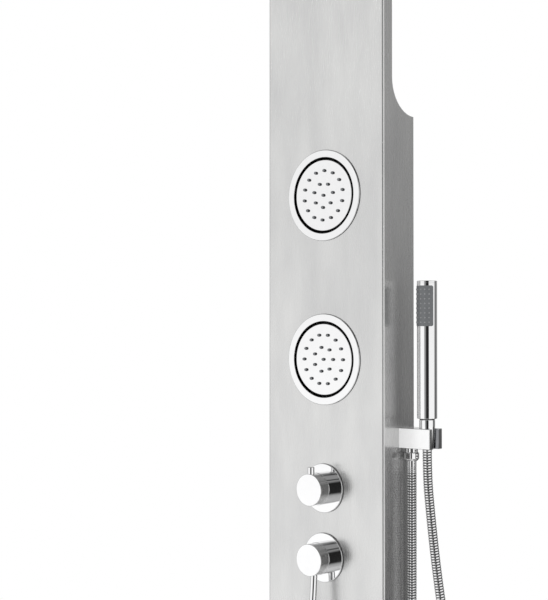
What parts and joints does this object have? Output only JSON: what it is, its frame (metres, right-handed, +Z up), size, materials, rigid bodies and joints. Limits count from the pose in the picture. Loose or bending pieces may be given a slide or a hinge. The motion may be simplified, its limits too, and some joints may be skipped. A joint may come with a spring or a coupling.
{
  "type": "shower panel column",
  "caption": "Wall-hung brushed steel shower column with swivelling body jets, two knobs, a rain head and a hand shower on a hose.",
  "frame": {"origin": "on the wall face, midway between the two screw holes of the upper wall bracket", "axes": "+X to the right seen from the front, +Y into the wall, +Z up"},
  "size_m": [0.3586, 0.47, 1.703],
  "materials": {
    "brushed_steel": "stainless sheet, vertically brushed",
    "bracket_steel": "zinc plated steel",
    "bright_screws": "plain stainless screws",
    "chrome": "polished chrome plate",
    "hose_metal": "chrome-plated steel hose",
    "brass": "raw brass",
    "white_plastic": "moulded white plastic",
    "black_rubber": "moulded rubber seal",
    "black_plastic": "moulded black ABS",
    "dark_rubber": "moulded dark grey rubber",
    "grey_silicone": "moulded grey silicone",
    "braided_hose": "steel-braided rubber hose"
  },
  "bodies": {
    "root": {"bottom_cap": "brushed_steel", "casing": "brushed_steel", "casing_screws": "bright_screws", "cold_inlet_pipe": "brass", "diverter_body": "brass", "diverter_cartridge": "white_plastic", "diverter_collar": "chrome", "diverter_escutcheon": "chrome", "handset_feed_pipe": "braided_hose", "holder_block": "chrome", "holder_nut": "brass", "hook_bar_lower": "bracket_steel", "hook_bar_upper": "bracket_steel", "hose_crimp": "chrome", "hose_nut": "chrome", "hot_inlet_pipe": "brass", "inlet_unions": "brass", "jet_feed_hose": "braided_hose", "jet_housing_lower": "black_plastic", "jet_housing_upper": "black_plastic", "jet_link_hose": "braided_hose", "jet_lock_nuts": "white_plastic", "jet_ring_lower": "chrome", "jet_ring_upper": "chrome", "jet_seals": "black_rubber", "link_pipe": "brass", "mixer_body": "brass", "mixer_cartridge": "white_plastic", "mixer_collar": "chrome", "mixer_escutcheon": "chrome", "outlet_nipple": "chrome", "rain_hose": "braided_hose", "rain_housing": "white_plastic", "rain_nozzles": "grey_silicone", "rain_plate": "chrome", "rain_ring": "chrome", "rear_cover": "brushed_steel", "shower_hose": "hose_metal", "spacer_bars": "bracket_steel", "valve_nuts": "brass", "wall_bracket_lower": "bracket_steel", "wall_bracket_upper": "bracket_steel"},
    "hose_end": {"cone_nut": "chrome"},
    "diverter_control": {"diverter_knob": "chrome", "diverter_pin": "chrome", "diverter_stem": "brass"},
    "handset": {"handset_body": "chrome", "handset_pad": "dark_rubber"},
    "lower_jet_ball": {"jet_ball_lower": "chrome"},
    "upper_jet_ball": {"jet_ball_upper": "chrome"},
    "lower_jet_face": {"jet_disc_lower": "chrome", "jet_nozzles_lower": "grey_silicone"},
    "upper_jet_face": {"jet_disc_upper": "chrome", "jet_nozzles_upper": "grey_silicone"},
    "lower_jet_seat": {"jet_seat_lower": "black_plastic"},
    "upper_jet_seat": {"jet_seat_upper": "black_plastic"},
    "mixer_control": {"mixer_knob": "chrome", "mixer_lever": "chrome", "mixer_stem": "brass"}
  },
  "joints": [
    {"name": "upper_jet_tilt", "type": "hinge", "parent": "root", "child": "upper_jet_seat", "pos_m": [0, -0.0583, -0.094], "axis": [1, 0, 0], "range_deg": [-8, 8]},
    {"name": "upper_jet_pan", "type": "hinge", "parent": "upper_jet_seat", "child": "upper_jet_ball", "pos_m": [0, -0.0583, -0.094], "axis": [0, 0, 1], "range_deg": [-8, 8]},
    {"name": "upper_jet_spin", "type": "hinge", "parent": "upper_jet_ball", "child": "upper_jet_face", "pos_m": [0, -0.0583, -0.094], "axis": [0, 1, 0], "continuous": true},
    {"name": "lower_jet_tilt", "type": "hinge", "parent": "root", "child": "lower_jet_seat", "pos_m": [0, -0.0583, -0.339], "axis": [1, 0, 0], "range_deg": [-8, 8]},
    {"name": "lower_jet_pan", "type": "hinge", "parent": "lower_jet_seat", "child": "lower_jet_ball", "pos_m": [0, -0.0583, -0.339], "axis": [0, 0, 1], "range_deg": [-8, 8]},
    {"name": "lower_jet_spin", "type": "hinge", "parent": "lower_jet_ball", "child": "lower_jet_face", "pos_m": [0, -0.0583, -0.339], "axis": [0, 1, 0], "continuous": true},
    {"name": "diverter_turn", "type": "hinge", "parent": "root", "child": "diverter_control", "pos_m": [0, -0.09, -0.5305], "axis": [0, -1, 0], "range_deg": [-90, 90]},
    {"name": "mixer_turn", "type": "hinge", "parent": "root", "child": "mixer_control", "pos_m": [0, -0.09, -0.6335], "axis": [0, -1, 0], "range_deg": [0, 105]},
    {"name": "handset_lift", "type": "slide", "parent": "root", "child": "hose_end", "axis": [0, 0, 1], "range_m": [0, 0.06]},
    {"name": "handset_turn", "type": "hinge", "parent": "hose_end", "child": "handset", "pos_m": [0.1498, -0.0226, -0.4235], "axis": [0, 0, 1], "continuous": true}
  ]
}
